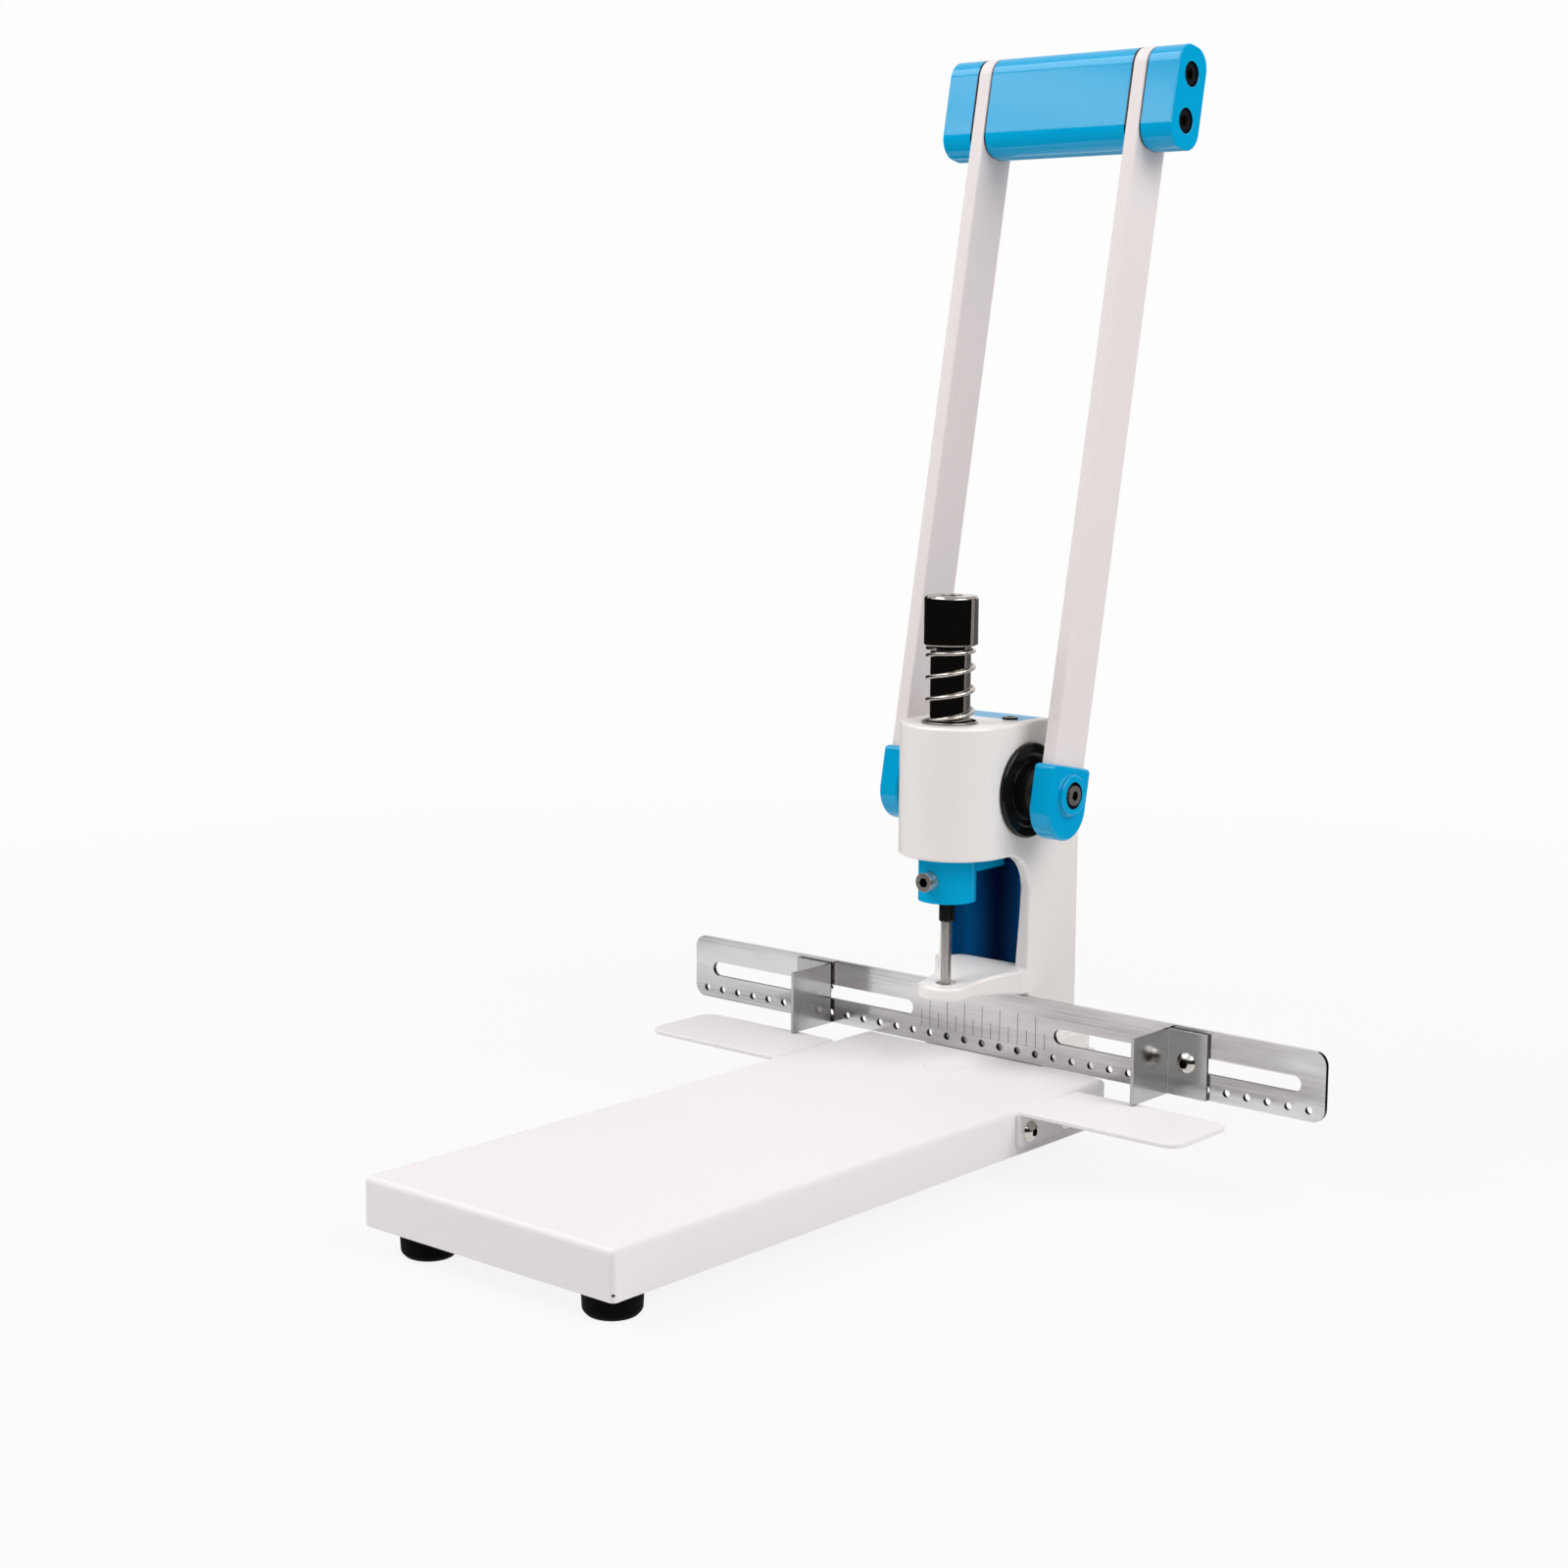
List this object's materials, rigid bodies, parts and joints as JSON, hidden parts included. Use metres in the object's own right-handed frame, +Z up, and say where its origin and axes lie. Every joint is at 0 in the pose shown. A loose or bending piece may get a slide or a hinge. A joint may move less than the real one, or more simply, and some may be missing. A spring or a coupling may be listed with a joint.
{
  "type": "single hole punch",
  "caption": "Bench paper punch: a long two-arm lever turns a pinion that drives a sprung ram and punch pin onto a flat base, with a ruler fence and sliding stops.",
  "frame": {"origin": "middle of the footprint's box, on the surface that the feet stand on", "axes": "+Z up, +Y towards the column at the back, +X to the right seen from the front"},
  "size_m": [0.355, 0.382, 0.4819],
  "materials": {
    "pan_white": "fine white powder coat on folded steel sheet",
    "casting_white": "smooth white enamel on a casting",
    "arm_white": "white powder coat on flat aluminium bar",
    "blue_enamel": "bright blue gloss enamel on aluminium",
    "blue_cover": "bright blue moulded cover, semi gloss",
    "stainless": "polished stainless sheet with fine drag lines",
    "bright_screw": "bright stainless fasteners",
    "black_oxide": "black oxide on steel fasteners",
    "bearing_black": "black moulded bearing housing, satin",
    "dark_chrome": "dark polished chrome",
    "foot_rubber": "black rubber, matt",
    "bush_brass": "turned bearing bronze",
    "pad_white": "white cutting pad"
  },
  "bodies": {
    "frame": {"base_pan": "pan_white", "anvil_plate": "stainless", "cutting_pad": "pad_white", "foot_front_left": "foot_rubber", "foot_front_right": "foot_rubber", "foot_rear_left": "foot_rubber", "foot_rear_right": "foot_rubber", "foot_screws": "bright_screw", "foot_nuts": "bright_screw", "wing_left": "pan_white", "wing_right": "pan_white", "wing_screws": "bright_screw", "c_frame": "casting_white", "frame_bolts": "black_oxide", "ruler": "stainless", "ruler_studs": "bright_screw", "ruler_nuts": "bright_screw", "throat_liner": "blue_cover", "back_cover": "blue_cover", "cover_screws": "black_oxide", "bearing_left": "bearing_black", "bearing_right": "bearing_black", "ram_bush": "bush_brass", "spring_cup": "dark_chrome", "return_spring": "dark_chrome"},
    "lever": {"lever_shaft": "bright_screw", "pinion": "bright_screw", "pinion_key": "bright_screw", "arm_left": "arm_white", "arm_right": "arm_white", "boot_left": "blue_enamel", "boot_right": "blue_enamel", "boot_screws": "bright_screw", "grip_tube": "blue_enamel", "grip_cap_left": "blue_enamel", "grip_cap_right": "blue_enamel", "grip_bolts": "black_oxide"},
    "ram": {"rack_ram": "dark_chrome", "ram_cap": "dark_chrome", "cap_screw": "black_oxide", "punch_holder": "blue_enamel", "holder_screw": "bright_screw", "punch_collar": "bearing_black", "punch_pin": "bright_screw"},
    "left_stop": {"stop_left_plate": "stainless", "stop_left_screw": "bright_screw", "stop_left_nut": "bright_screw"},
    "right_stop": {"stop_right_plate": "stainless", "stop_right_screw": "bright_screw", "stop_right_nut": "bright_screw"}
  },
  "joints": [
    {"name": "lever_swing", "type": "hinge", "parent": "frame", "child": "lever", "pos_m": [0, 0.1184, 0.156], "axis": [1, 0, 0], "range_deg": [0, 101.8]},
    {"name": "ram_slide", "type": "slide", "parent": "frame", "child": "ram", "axis": [0, 0, -1], "range_m": [0, 0.032], "stiffness_N_per_m": 3200, "springref_m": -0.006, "deforming": ["return_spring"]},
    {"name": "left_stop_slide", "type": "slide", "parent": "frame", "child": "left_stop", "axis": [1, 0, 0], "range_m": [-0.0625, 0.0555]},
    {"name": "right_stop_slide", "type": "slide", "parent": "frame", "child": "right_stop", "axis": [1, 0, 0], "range_m": [-0.0665, 0.0515]}
  ],
  "couplings": [
    {"joint": "ram_slide", "follows": "lever_swing", "m_per_rad": 0.018}
  ]
}
